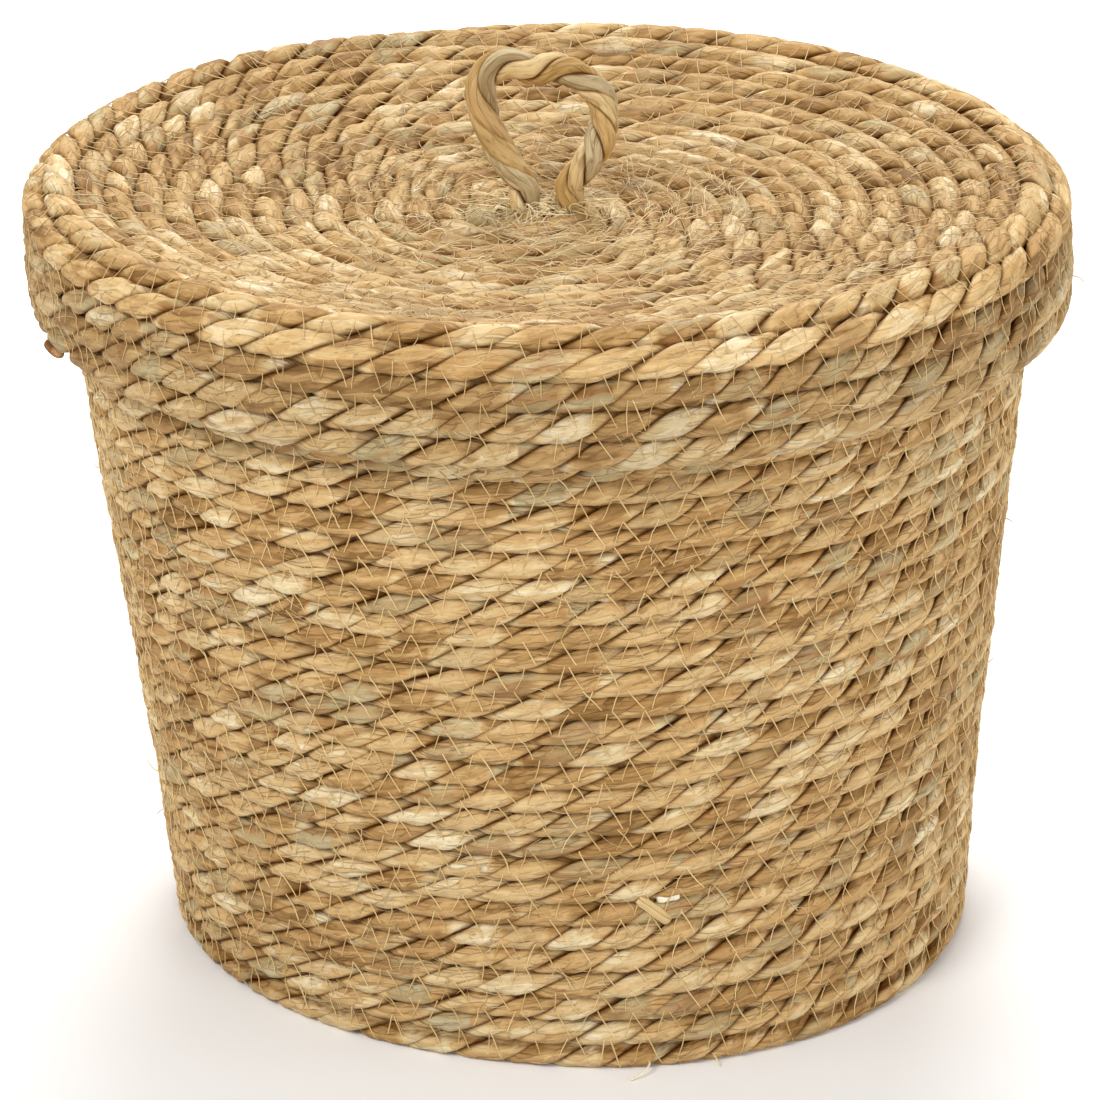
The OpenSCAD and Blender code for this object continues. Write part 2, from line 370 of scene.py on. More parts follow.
class Nodes:
    """Short calls for making and linking shader nodes."""

    def __init__(self, name):
        """A new material with a Principled shader."""
        self.material = bpy.data.materials.new(name)
        self.material.use_nodes = True
        self.tree = self.material.node_tree
        self.shader = self.tree.nodes["Principled BSDF"]

    def add(self, kind, inputs=(), **settings):
        """A node with these settings, its inputs linked or set."""
        node = self.tree.nodes.new("ShaderNode" + kind)
        for key, value in settings.items():
            setattr(node, key, value)
        for key, value in dict(inputs).items():
            if isinstance(value, bpy.types.NodeSocket):
                self.tree.links.new(value, node.inputs[key])
            else:
                node.inputs[key].default_value = value
        return node

    def drawn_out(self, place, width, length):
        """Leaf coordinates in units of a width across the fibres and a length along them."""
        scale = (1 / width, 1 / width, 1 / length)
        return self.add("VectorMath", {0: place, 1: scale}, operation="MULTIPLY").outputs[0]

    def fibre_noise(self, place, width, length, detail, seed):
        """Noise drawn out along the leaves: width across them and length along them."""
        scaled = self.drawn_out(place, width, length)
        shifted = self.add("VectorMath", {0: scaled, 1: (seed, 0.0, seed)}, operation="ADD")
        noise = self.add("TexNoise", {"Vector": shifted.outputs[0], "Scale": 1.0, "Detail": detail})
        return noise.outputs["Fac"]

    def ramp(self, factor, stops):
        """A colour from stops of (place, hex colour)."""
        node = self.add("ValToRGB", {"Fac": factor})
        elements = node.color_ramp.elements
        while len(elements) < len(stops):
            elements.new(0.5)
        for element, (place, colour) in zip(elements, stops):
            element.position = place
            element.color = rgb(colour)
        return node.outputs["Color"]

    def cells(self, place, width, length, feature):
        """Leaf-shaped cells drawn out along the fibres, each a leaf or a fold of one."""
        scaled = self.drawn_out(place, width, length)
        return self.add("TexVoronoi", {"Vector": scaled, "Scale": 1.0}, feature=feature)

    def sum(self, *parts):
        """The sum of some values, each times its weight."""
        total = 0.0
        for value, weight in parts:
            total = self.add("Math", {0: value, 1: weight, 2: total}, operation="MULTIPLY_ADD").outputs[0]
        return total

    def map(self, value, low, high, to_low, to_high):
        """The value moved from one range to another, and held within it."""
        return self.add("MapRange", {0: value, 1: low, 2: high, 3: to_low, 4: to_high}).outputs[0]

    def scale_colour(self, colour, factor):
        """A colour made lighter or darker."""
        return self.add("VectorMath", {0: colour, 3: factor}, operation="SCALE").outputs[0]

    def mix(self, share, first, second):
        """The first colour, with a share of the second."""
        return self.add("Mix", {0: share, 6: first, 7: second}, data_type="RGBA").outputs[2]

    def link(self, output, socket):
        """Feeds an output to the shader."""
        self.tree.links.new(output, self.shader.inputs[socket])


def leaf_material(name, tones, patches, patch_share, leaf_width, streak, relief, groove_shade, gain=1.0):
    """Dried leaf: a tone for each strand and fold of leaf, dark creases between folds, fibre lines, and
    painted shade in the grooves.
    """
    n = Nodes(name)
    place = n.add("Attribute", attribute_name="fibre").outputs["Vector"]
    strand = n.add("SeparateXYZ", {0: n.add("Attribute", attribute_name="tone").outputs["Vector"]})
    fold = n.add("SeparateColor", {0: n.cells(place, leaf_width, 110 * MM, "F1").outputs["Color"]}).outputs[0]
    drift = n.map(n.fibre_noise(place, 0.8 * leaf_width, 60 * MM, 1.0, 23.0), 0.3, 0.7, 0.0, 1.0)
    tone = n.sum((strand.outputs[0], 0.52), (fold, 0.26), (drift, 0.22))
    colour = n.ramp(n.map(tone, 0.12, 0.88, 0.0, 1.0), tones)
    patch = n.fibre_noise(place, 6 * MM, 60 * MM, 1.0, 29.0)
    patch_colour = n.ramp(n.map(patch, 0.3, 0.7, 0.0, 1.0), patches)
    colour = n.mix(n.map(strand.outputs[1], 0.74, 0.94, 0.0, patch_share), colour, patch_colour)
    lines = n.fibre_noise(place, 0.55 * MM, 40 * MM, 2.0, 5.0)
    bands = n.fibre_noise(place, 1.5 * MM, 60 * MM, 1.0, 37.0)
    shade = n.sum((lines, 0.6), (bands, 0.4))
    colour = n.scale_colour(colour, n.map(shade, 0.32, 0.68, gain * (1 - streak), gain * (1 + 0.7 * streak)))
    slits = n.fibre_noise(place, 0.9 * MM, 34 * MM, 1.0, 31.0)
    slit = n.map(slits, 0.27, 0.36, 1.0, 0.0)
    edge = n.cells(place, leaf_width, 110 * MM, "DISTANCE_TO_EDGE").outputs["Distance"]
    shown = n.map(n.fibre_noise(place, 6 * MM, 40 * MM, 1.0, 41.0), 0.42, 0.56, 0.1, 1.0)
    crease = n.add("Math", {0: n.map(edge, 0.01, 0.07, 1.0, 0.0), 1: shown}, operation="MULTIPLY").outputs[0]
    specks = n.fibre_noise(place, 1.1 * MM, 2.2 * MM, 2.0, 7.0)
    dark = n.sum((slit, 0.34), (crease, 0.34), (n.map(specks, 0.68, 0.76, 0.0, 1.0), 0.2))
    colour = n.mix(n.map(dark, 0.0, 1.0, 0.0, 1.0), colour, rgb(GROOVE_SHADE_AND_MARKS))
    light = n.add("Attribute", attribute_name="light").outputs["Fac"]
    # Painted shade: where the light attribute is low, deep in the grooves, the colour is mixed toward the
    # dark groove colour
    colour = n.mix(n.map(light, 0.0, 0.8, groove_shade, 0.0), colour, rgb(GROOVE_SHADE_AND_MARKS))
    n.link(colour, "Base Color")
    n.link(n.map(lines, 0.3, 0.7, 0.62, 0.82), "Roughness")
    height = n.sum((shade, 0.8), (slit, -0.5), (crease, -0.8))
    bump = n.add("Bump", {"Height": height, "Strength": 0.8, "Distance": relief})
    n.link(bump.outputs["Normal"], "Normal")
    # Painted shade also takes the specular down in the grooves
    n.link(n.map(light, 0.2, 1.0, 0.03, 0.26), "Specular IOR Level")
    return n.material


def thread_material(name, tones):
    """Sewing thread or a bare fibre: a changing tone along it and a fine twist."""
    n = Nodes(name)
    place = n.add("Attribute", attribute_name="fibre").outputs["Vector"]
    tone = n.fibre_noise(place, 3 * MM, 25 * MM, 2.0, 2.0)
    n.link(n.ramp(n.map(tone, 0.3, 0.7, 0.0, 1.0), tones), "Base Color")
    twist = n.fibre_noise(place, 0.3 * MM, 0.9 * MM, 2.0, 4.0)
    bump = n.add("Bump", {"Height": twist, "Strength": 0.5, "Distance": 0.1 * MM})
    n.link(bump.outputs["Normal"], "Normal")
    n.link(n.map(twist, 0.3, 0.7, 0.45, 0.65), "Roughness")
    return n.material


# Dark brown of the leaf's slits, creases and specks, and of the painted shade in the grooves
GROOVE_SHADE_AND_MARKS = "5E3406"
STRAW = [(0, "84602E"), (0.14, "A27B47"), (0.32, "B8915B"), (0.5, "C7A36D"), (0.68, "D0B07C"),
         (0.85, "D8C092"), (1, "E2D1AB")]
LID_STRAW = [(0, "7A5829"), (0.14, "957143"), (0.32, "AD8854"), (0.5, "BC9965"), (0.68, "C7A875"),
             (0.85, "D2B98C"), (1, "DECCA8")]
AGED = [(0, "8A5F34"), (0.25, "A27C4E"), (0.5, "A99468"), (0.8, "B3A47C"), (1, "C0B390")]

body_leaf = leaf_material("seagrass_body", STRAW, AGED, 0.8, 3.6 * MM, 0.2, 0.5 * MM, 0.96, 0.94)
lid_leaf = leaf_material("seagrass_lid", LID_STRAW, AGED, 0.75, 3.8 * MM, 0.2, 0.5 * MM, 0.95)
# The lid's leaf made 1.09 times as bright: painted light on the shoulder
shoulder_lit_leaf = leaf_material("seagrass_shoulder_painted_light", LID_STRAW, AGED, 0.7, 3.8 * MM, 0.2, 0.5 * MM, 0.95,
                              1.09)
# The lid's leaf at 0.86 of its brightness: painted shade on the skirt, with a few more aged patches
skirt_shaded_leaf = leaf_material("seagrass_skirt_painted_shade", LID_STRAW, AGED, 0.85, 3.8 * MM, 0.22, 0.5 * MM, 0.95, 0.86)
thread = thread_material("sewing_thread", [(0, "B89659"), (0.5, "D2B277"), (1, "E4CE9A")])
lid_thread = thread_material("lid_sewing_thread", [(0, "A8854E"), (0.5, "C5A56C"), (1, "DAC28E")])
bare_fibre = thread_material("bare_fibre", [(0, "BE9A62"), (0.5, "DEC794"), (1, "F1E4C2")])
pale_leaf = thread_material("pale_leaf", [(0, "D2BC92"), (0.5, "E6DABC"), (1, "F0E8D4")])
brown_leaf = leaf_material("brown_leaf", [(0, "8A6238"), (0.5, "B58A5C"), (1, "CDA87C")],
                           [(0, "5E3A1C"), (1, "8F6237")], 0.5, 3 * MM, 0.15, 0.3 * MM, 0.8)
grey_leaf = leaf_material("handle_grey_leaf",
                          [(0, "7E6840"), (0.4, "A68F66"), (0.7, "B7A27A"), (1, "CBB891")],
                          [(0, "7C5C34"), (1, "A08860")], 0.7, 3.0 * MM, 0.22, 0.4 * MM, 0.95)
tan_leaf = leaf_material("handle_tan_leaf",
                         [(0, "A98852"), (0.4, "CBAC76"), (0.7, "D8BD8A"), (1, "E5D1A4")],
                         [(0, "A37B48"), (1, "CBA468")], 0.6, 4.0 * MM, 0.15, 0.35 * MM, 0.95)
gold_leaf = leaf_material("handle_gold_leaf",
                          [(0, "A37F46"), (0.4, "C8A468"), (0.7, "DABA82"), (1, "EAD3A2")],
                          [(0, "A17A48"), (1, "C4A270")], 0.6, 3.4 * MM, 0.18, 0.4 * MM, 0.95)


# -------- rope laid in rings

def lay_coil(rings, rope_r, lay, thread_r, seed):
    """A rope laid along rings of (radius, height, outward normal's two parts), from the first to the last."""
    turn = np.linspace(0, len(rings) - CLIMB_SHARE, len(rings) * 500)
    here = turn.astype(int)
    after = np.minimum(here + 1, len(rings) - 1)
    climb = smooth((turn - here - (1 - CLIMB_SHARE)) / CLIMB_SHARE)[:, None]
    ring = rings[here] * (1 - climb) + rings[after] * climb
    radius = ring[:, 0]
    chord = np.hypot(radius[1:] * np.diff(turn) * math.tau, np.diff(ring[:, 1]))
    length = np.concatenate(([0], np.cumsum(np.hypot(chord, np.diff(radius)))))
    s = np.arange(0, length[-1], STEP)
    turn = np.interp(s, length, turn)
    radius, height, out_r, out_z = (np.interp(s, length, ring[:, k]) for k in range(4))
    shift_out, shift_along = 0.45 * MM * wander(s, 0.045, seed), 0.5 * MM * wander(s, 0.06, seed + 1)
    radius = radius + shift_out * out_r - shift_along * out_z
    height = height + shift_out * out_z + shift_along * out_r
    angle = COIL_START + turn * math.tau
    radial = np.stack((np.cos(angle), np.sin(angle), np.zeros(len(s))), -1)
    centre = radial * radius[:, None] + UP * height[:, None]
    side, out = sides_of(centre, unit(radial * out_r[:, None] + UP * out_z[:, None]))
    period = lay * (1 + 0.18 * wander(s, 0.09, seed + 2))
    phase = -np.cumsum(math.tau * STEP / period)
    return {"s": s, "turn": turn, "centre": centre, "out": out, "side": side,
            "phase": phase, "radius": radius, "rope_r": rope_r, "thread_r": thread_r, "seed": seed,
            "end": s[-1], "points": [], "faces": [], "count": 0}


def painted_groove_light(offsets, outs):
    """1 where a rope's surface stands proud, and less in the grooves between plies and between courses:
    painted shade, which the leaf material mixes into the colour.
    """
    proud = np.linalg.norm(offsets, axis=-1)
    facing = np.abs(np.sum(offsets * outs, axis=-1))
    return smooth((proud - 0.62) / 0.36) * (0.15 + 0.85 * smooth(facing / 0.5))


def rope_length(coil, name, first_turn, last_turn, ply, material):
    """One ply of the rope between two turns of its coil, as a piece of its own."""
    chosen = np.flatnonzero((coil["turn"] >= first_turn) & (coil["turn"] <= last_turn + 0.003))
    s = coil["s"][chosen]
    seed = coil["seed"] + 10 * (ply + 1)
    phase = coil["phase"][chosen] + math.pi * ply + 0.22 * wander(s, 0.04, seed + 4)
    taper = 0.3 + 0.7 * smooth(np.minimum(s, coil["end"] - s) / (40 * MM))
    thick = coil["rope_r"] * PLY_THICK * (1 + 0.14 * wander(s, 0.035, seed)) * taper
    wide = coil["rope_r"] * PLY_WIDE * (1 + 0.12 * wander(s, 0.028, seed + 1)) * taper
    offset = coil["rope_r"] * PLY_OFFSET * (1 + 0.08 * wander(s, 0.05, seed + 2)) * taper
    turn = corners(PLY_SIDES)
    leaf_angle = turn[None, :] + (phase * (1 + LEAF_UNTWIST))[:, None]
    relief = 1 + 0.075 * ridges(leaf_angle, s[:, None], 5, 0.03, seed + 3)
    out, side = coil["out"][chosen], coil["side"][chosen]
    sizes = offset[:, None], thick[:, None], wide[:, None]
    offsets, fibre = ply_section(out, side, phase[:, None], sizes, turn, relief, PLY_SQUARE, LEAF_UNTWIST,
                                 s[:, None] + 61.7 * ply + coil["seed"], ROPE_REACH * coil["rope_r"])
    points = coil["centre"][chosen][:, None] + offsets
    points[..., 2] = np.maximum(points[..., 2], 0)
    tone = np.repeat(strand_tones(phase, seed + 6)[:, None], PLY_SIDES, axis=1)
    # The light attribute paints shade into the grooves between plies and between courses
    light = painted_groove_light(offsets / coil["rope_r"], out[:, None])
    points = points.reshape(-1, 3)
    faces = tube_faces(1, len(chosen), PLY_SIDES)
    coil["points"].append(points)
    coil["faces"] += [row for f in faces for row in (f + coil["count"]).tolist()]
    coil["count"] += len(points)
    return build_mesh(name, lean(points), faces, material, fibre.reshape(-1, 3), light, tone)


def coil_point(coil, turn):
    """The rope's centre and outward direction at any turn, held at its ends."""
    centre = np.stack([np.interp(turn, coil["turn"], coil["centre"][:, k]) for k in range(3)], -1)
    out = np.stack([np.interp(turn, coil["turn"], coil["out"][:, k]) for k in range(3)], -1)
    return centre, unit(out)


def surface_height(tree, centres, outs, reach):
    """How far the rope's surface stands off each centre, seen from outside."""
    heights = np.zeros(centres.shape[:-1])
    flat = heights.reshape(-1)
    starts = (centres + outs * reach).reshape(-1, 3)
    for i, (start, out) in enumerate(zip(starts, outs.reshape(-1, 3))):
        hit = tree.ray_cast(Vector(start), Vector(-out), 2 * reach)
        flat[i] = reach - hit[3] if hit[0] is not None else 0.3 * reach
    return heights


# -------- the two coils

def profile(points):
    """Rings with the outward direction of the sheet that they make, which lies to the left of their run."""
    points = np.array(points)
    run = unit(np.gradient(points, axis=0))
    return np.column_stack((points, run[:, 1], -run[:, 0]))


def wall_profile():
    """Base rings from the eye outward, then wall rings from the floor up, as wide as the CAD nodes' boxes."""
    lengths = ["wall_rope_lower", "wall_rope_middle", "wall_rope_upper", "rim_rope"]
    foot_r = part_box("base_rope")[1].x + JOIN_GAP + 2 * BODY_ROPE_R
    heights = [0.0] + [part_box(name)[1].z - BODY_ROPE_R for name in lengths]
    reaches = [foot_r] + [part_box(name)[1].x for name in lengths]
    rim_z = heights[-1]
    first_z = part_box("base_rope")[1].z - BODY_ROPE_R
    z = np.linspace(first_z, rim_z, WALL_COURSES)
    r = np.interp(z, heights, reaches) - BODY_ROPE_R
    base_r = r[0] - JOIN_GAP - 2 * BODY_ROPE_R - BASE_PITCH * np.arange(BASE_COURSES)[::-1]
    base = [(x, first_z) for x in base_r]
    return profile(base + list(zip(r, z)))


def lid_profile():
    """Disc rings from the eye outward, the shoulder, then the skirt down to its last ring."""
    floor_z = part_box("lid_disc_rope")[0].z + LID_ROPE_R
    shoulder_lo, shoulder_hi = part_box("lid_shoulder_rope")
    skirt_lo, skirt_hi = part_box("lid_skirt_rope")
    shoulder_z = shoulder_hi.z - LID_ROPE_R - SHOULDER_SINK
    dish = shoulder_z - floor_z
    span = SHOULDER_R - DISH_FLAT_R
    disc, r = [], SHOULDER_R
    for _ in range(DISC_COURSES):
        slope = dish * DISH_POWER / span * max(0, (r - DISH_FLAT_R) / span) ** (DISH_POWER - 1)
        r -= DISC_STEP / math.hypot(1, slope)
        disc.append((r, shoulder_z - dish * (1 - max(0, (r - DISH_FLAT_R) / span) ** DISH_POWER)))
    second = (shoulder_hi.x - LID_ROPE_R + SECOND_SPREAD, shoulder_lo.z + LID_ROPE_R - SECOND_SINK)
    skirt_z = np.linspace(skirt_hi.z - LID_ROPE_R, skirt_lo.z + LID_ROPE_R, SKIRT_COURSES)
    skirt_r = skirt_hi.x - LID_ROPE_R - np.array(SKIRT_TUCKS)
    rings = disc[::-1] + [(SHOULDER_R, shoulder_z), second] + list(zip(skirt_r, skirt_z))
    made = profile(rings)
    made[:, 2:] *= -1
    return made


def packing(name, rings, material, slot, body):
    """The fibre pressed in between a coil's courses: a thin closed sheet through the rope's middle, painted
    dark with shade.
    """
    eye = rings[0] * (0, 1, 1, 1) + (PACKING_EYE, 0, 0, 0)
    rings = np.vstack((eye, rings))
    half = rings[:, 2:] * PACKING_THICKNESS / 2
    outline = np.vstack((rings[:, :2] + half, (rings[:, :2] - half)[::-1]))
    after = np.roll(outline, -1, axis=0)
    if np.sum(outline[:, 0] * after[:, 1] - after[:, 0] * outline[:, 1]) < 0:
        outline = outline[::-1]
    angle = corners(PACKING_SIDES)
    points = np.empty((PACKING_SIDES, len(outline), 3))
    points[..., 0] = np.cos(angle)[:, None] * outline[:, 0]
    points[..., 1] = np.sin(angle)[:, None] * outline[:, 0]
    points[..., 2] = outline[:, 1]
    points = points.reshape(-1, 3)
    step, k = np.meshgrid(np.arange(PACKING_SIDES), np.arange(len(outline)), indexing="ij")
    t = step * len(outline)
    t_next = (step + 1) % PACKING_SIDES * len(outline)
    k_next = (k + 1) % len(outline)
    faces = np.stack((t + k, t_next + k, t_next + k_next, t + k_next), -1).reshape(-1, 4)
    # Painted shade: a low light of 0.2 mixes most of the groove colour into the sheet
    dark = np.full(len(points), 0.2)
    place(build_mesh(name, lean(points), [faces], material, points, dark), body, slot)


basket_coil = lay_coil(wall_profile(), BODY_ROPE_R, BODY_LAY, BODY_THREAD_R, 100)
lid_coil = lay_coil(lid_profile(), LID_ROPE_R, LID_LAY, LID_THREAD_R, 300)
packing("basket_packing", wall_profile(), body_leaf, "wall_seagrass", "basket")
packing("lid_packing", lid_profile(), lid_leaf, "lid_seagrass", "lid")

# Name, CAD node, first turn and last turn of each length of rope
BASKET_LENGTHS = [
    ("base_rope", 0, 15), ("wall_rope_lower", 15, 22), ("wall_rope_middle", 22, 33),
    ("wall_rope_upper", 33, 44), ("rim_rope", 44, 45),
]
DISC_LENGTHS = [("lid_disc_rope", 0, 15)]
SHOULDER_LENGTHS = [("lid_shoulder_rope", 15, 17)]
SKIRT_LENGTHS = [("lid_skirt_rope", 17, 20)]

for coil, lengths, body, material, slot in (
    (basket_coil, BASKET_LENGTHS, "basket", body_leaf, "wall_seagrass"),
    (lid_coil, DISC_LENGTHS, "lid", lid_leaf, "lid_seagrass"),
    (lid_coil, SHOULDER_LENGTHS, "lid", shoulder_lit_leaf, "lid_seagrass"),
    (lid_coil, SKIRT_LENGTHS, "lid", skirt_shaded_leaf, "lid_seagrass"),
):
    for node, first, last in lengths:
        for ply in (0, 1):
            piece = rope_length(coil, f"{node}_ply_{ply + 1}", first, last, ply, material)
            place(piece, body, slot, [node] if ply == 0 else [])

for coil in (basket_coil, lid_coil):
    coil["tree"] = BVHTree.FromPolygons(np.concatenate(coil["points"]).tolist(), coil["faces"])


# -------- stitches

def stitches(coil, first, last, face, upper, zigzag, seed):
    """Zigzag strokes between each course and the next, outside if face is 1 and inside if it is -1. upper is
    0 if the tips lie on the earlier course and 1 if they lie on the later one."""
    rng = np.random.default_rng(seed)
    s, turn = coil["s"], coil["turn"]
    last = min(last, coil["turn"][-1] - 1)
    marks = np.arange(np.interp(first, turn, s), np.interp(last, turn, s), STITCH_PITCH)
    marks = marks + rng.normal(0, 1.1, len(marks)) * MM
    base = np.interp(marks, s, turn)
    per_mm = MM / (math.tau * np.interp(marks, s, coil["radius"]))
    fall, gap, rise = zigzag
    tip_a = rng.normal(0, 0.6, len(marks))
    foot_a = tip_a + rng.normal(fall, 0.9, len(marks))
    foot_b = foot_a + rng.normal(gap, 0.9, len(marks))
    tip_b = foot_b + rng.normal(rise, 0.9, len(marks))
    tips = (base[:, None] + np.stack((tip_a, tip_b), -1) * per_mm[:, None] + upper).ravel()
    feet = (base[:, None] + np.stack((foot_a, foot_b), -1) * per_mm[:, None] + (1 - upper)).ravel()
    rising = np.tile((False, True), len(marks))
    kept = rng.random(len(tips)) > np.where(rising, 0.07, 0.02)
    tips, feet, rising = tips[kept], feet[kept], rising[kept]
    count, points = len(tips), 8
    tip_c, tip_out = coil_point(coil, tips)
    foot_c, foot_out = coil_point(coil, feet)
    begin, end = rng.normal(0.0, 0.05, (count, 1)), rng.normal(1.0, 0.05, (count, 1))
    along = np.array((0, 0.05, 0.2, 0.4, 0.6, 0.8, 0.95, 1))
    share = (begin + (end - begin) * along)[..., None]
    centres = tip_c[:, None] * (1 - share) + foot_c[:, None] * share
    outs = unit(tip_out[:, None] * (1 - share) + foot_out[:, None] * share) * face
    stroke = unit(centres[:, -1] - centres[:, 0])[:, None]
    bow = rng.normal(0, 0.35, (count, 1)) * MM * np.sin(math.pi * along)
    centres = centres + bow[..., None] * unit(np.cross(stroke, outs))
    surface = surface_height(coil["tree"], centres, outs, 2.2 * coil["rope_r"])
    surface = np.clip(surface, 0.3 * coil["rope_r"], 1.3 * coil["rope_r"])
    taut = pull_taut(surface, 12)
    pull = rng.uniform(0.6, 1.0, (count, 1))
    height = surface + (taut - surface) * pull + 0.6 * coil["thread_r"]
    height[:, 0] = surface[:, 0] - STITCH_ROOT
    height[:, -1] = surface[:, -1] - STITCH_ROOT
    radii = coil["thread_r"] * np.where(rising, 0.82, 1.0) * rng.uniform(0.85, 1.15, count)
    return centres + outs * height[..., None], outs, np.repeat(radii[:, None], points, axis=1)


def sew(name, coil, first, last, face, seed, body, nodes=()):
    """The stitches between two turns of a coil, on one of its faces."""
    upper, zigzag, material = (0, LID_ZIGZAG, lid_thread) if coil is lid_coil else (1, WALL_ZIGZAG, thread)
    paths, outs, radii = stitches(coil, first, last, face, upper, zigzag, seed)
    place(thin_tubes(name, paths, outs, radii, 4, material), body, "sewing_thread", nodes)


sew("base_stitches_under", basket_coil, 1, 14, 1, 1, "basket", ["base_stitching"])
sew("base_stitches_inside", basket_coil, 1, 14, -1, 2, "basket")
sew("wall_stitches_outside_lower", basket_coil, 14, 30, 1, 3, "basket", ["wall_stitching"])
sew("wall_stitches_outside_upper", basket_coil, 30, 44, 1, 4, "basket")
sew("wall_stitches_inside_lower", basket_coil, 14, 30, -1, 5, "basket")
sew("wall_stitches_inside_upper", basket_coil, 30, 44, -1, 6, "basket")
sew("lid_disc_stitches", lid_coil, 1, 14, 1, 7, "lid", ["lid_disc_stitching"])
sew("lid_disc_stitches_under", lid_coil, 1, 14, -1, 8, "lid")
sew("lid_skirt_stitches", lid_coil, 14, 19, 1, 9, "lid", ["lid_skirt_stitching"])
sew("lid_skirt_stitches_inside", lid_coil, 14, 19, -1, 10, "lid")


# -------- stray fibres on the ropes

def stray_fibres(name, coil, first, last, count, lift, thickest, seed, body):
    """Fine fibres on the outside of a coil between two turns. A few stand further off it at one end."""
    rng = np.random.default_rng(seed)
    points = 6
    base = rng.uniform(first, last, count)
    heading = rng.normal(0, 0.6, count)
    curl = rng.normal(0, 1.4, count)
    reach = rng.uniform(6, 20, count) * MM
    share = np.linspace(0, 1, points)
    bearing = heading[:, None] + curl[:, None] * (share - 0.5)
    step = reach[:, None] / (points - 1)
    along = np.cumsum(np.cos(bearing) * step, axis=1)
    across = np.cumsum(np.sin(bearing) * step, axis=1)
    radius = np.interp(base, coil["turn"], coil["radius"])[:, None]
    turn = base[:, None] + along / (math.tau * radius)
    centre, out = coil_point(coil, turn)
    forward = coil_point(coil, turn + 0.002)[0] - centre
    side = unit(np.cross(unit(forward), out))
    centre = centre + side * across[..., None]
    height = pull_taut(surface_height(coil["tree"], centre, out, 2.2 * coil["rope_r"]), 4)
    arch = rng.uniform(0.1, 1, (count, 1)) * lift * np.sin(math.pi * share) ** 1.5
    free_end = rng.uniform(0, 1, (count, 1)) ** 5 * lift * 4 * share ** 2
    paths = centre + out * (height + 0.1 * MM + arch + free_end)[..., None]
    radii = rng.uniform(0.1, thickest / MM, (count, 1)) * MM * (1 - 0.6 * share)
    place(thin_tubes(name, paths, out, radii, 3, bare_fibre), body, "frayed_fibre")


stray_fibres("lid_centre_fibres", lid_coil, 1, 6, 700, 2.5 * MM, 0.3 * MM, 21, "lid")
stray_fibres("lid_disc_fibres", lid_coil, 5, 15, 800, 1.4 * MM, 0.2 * MM, 22, "lid")
stray_fibres("lid_skirt_fibres", lid_coil, 15, 20, 220, 0.7 * MM, 0.18 * MM, 23, "lid")
stray_fibres("wall_fibres", basket_coil, 15, 43, 1100, 0.8 * MM, 0.2 * MM, 24, "basket")


# -------- handle

def loop_line():
    """The loop's centre line in the XZ plane, from the end of the right leg to the end of the left, and the
    length along it, which is 0 at the right foot."""
    bends = np.array(LOOP_BENDS) * MM
    bends[:, 0] *= LEG_X / bends[0, 0]
    before, after = 2 * bends[0] - bends[1], 2 * bends[-1] - bends[-2]
    knots = np.vstack((before, bends, after))
    t = np.linspace(0, 1, 12, endpoint=False)[:, None]
    pieces = []
    for a, b, c, d in zip(knots, knots[1:], knots[2:], knots[3:]):
        pieces.append(b + 0.5 * t * (c - a + t * (2 * a - 5 * b + 4 * c - d + t * (3 * b - 3 * c + d - a))))
    loop = np.vstack(pieces + [bends[-1:]])
    loop_length = np.sum(np.linalg.norm(np.diff(loop, axis=0), axis=1))
    leg_z = np.linspace(leg_lo.z - PIVOT_Z, 0, 14)[:-1]
    leg = np.column_stack((np.full(len(leg_z), LEG_X), leg_z))
    line = np.vstack((leg, loop, leg[::-1] * (-1, 1)))
    return line, lengths_along(line) + leg_z[0], loop_length


def handle_ply(name, phase, material, nodes, seed):
    """One of the handle's three plies, a wide leaf wound round the other two."""
    line, length, loop_length = loop_line()
    s = np.arange(length[0], length[-1], 1.0 * MM)
    x, z = np.interp(s, length, line[:, 0]), np.interp(s, length, line[:, 1])
    centre = np.column_stack((x, np.zeros(len(s)), PIVOT_Z + z))
    along = unit(np.gradient(centre, axis=0))
    depth = np.broadcast_to(np.array((0.0, 1.0, 0.0)), centre.shape)
    inward = np.cross(along, depth)
    run = s - s[0]
    share = s / loop_length
    turns = PLY_TURNS * share - RIGHT_TURNS * np.maximum(0, 1 - 2 * share)
    angle = math.radians(phase) + math.tau * turns + 0.2 * wander(run, 0.03, seed + 4)
    turn = corners(HANDLE_PLY_SIDES)
    leaf_angle = turn[None, :] + (angle * (1 + HANDLE_UNTWIST))[:, None]
    relief = 1 + 0.07 * ridges(leaf_angle, run[:, None], 8, 0.03, seed)
    offset = HANDLE_PLY_OFFSET * (1 + 0.12 * wander(run, 0.025, seed + 1))
    thick = HANDLE_PLY_THICK * (1 + 0.16 * wander(run, 0.016, seed + 2))
    wide = HANDLE_PLY_WIDE * (1 + 0.16 * wander(run, 0.02, seed + 3))
    sizes = offset[:, None], thick[:, None], wide[:, None]
    offsets, fibre = ply_section(inward, depth, angle[:, None], sizes, turn, relief, HANDLE_PLY_SQUARE,
                                 HANDLE_UNTWIST, run[:, None] + seed, HANDLE_ROPE_R)
    # Painted shade in the grooves between the handle's plies, carried by the light attribute
    light = smooth((np.linalg.norm(offsets, axis=-1) / HANDLE_ROPE_R - 0.62) / 0.25)
    tone = np.repeat(strand_tones(-angle / 2, seed + 5)[:, None], HANDLE_PLY_SIDES, axis=1)
    shift = lean(np.array(((0.0, 0.0, PIVOT_Z),)))[0]
    points = (centre[:, None] + offsets).reshape(-1, 3) + (shift[0], 0, 0)
    faces = tube_faces(1, len(s), HANDLE_PLY_SIDES)
    piece = build_mesh(name, points, faces, material, fibre.reshape(-1, 3), light, tone)
    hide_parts(*nodes)
    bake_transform(piece)


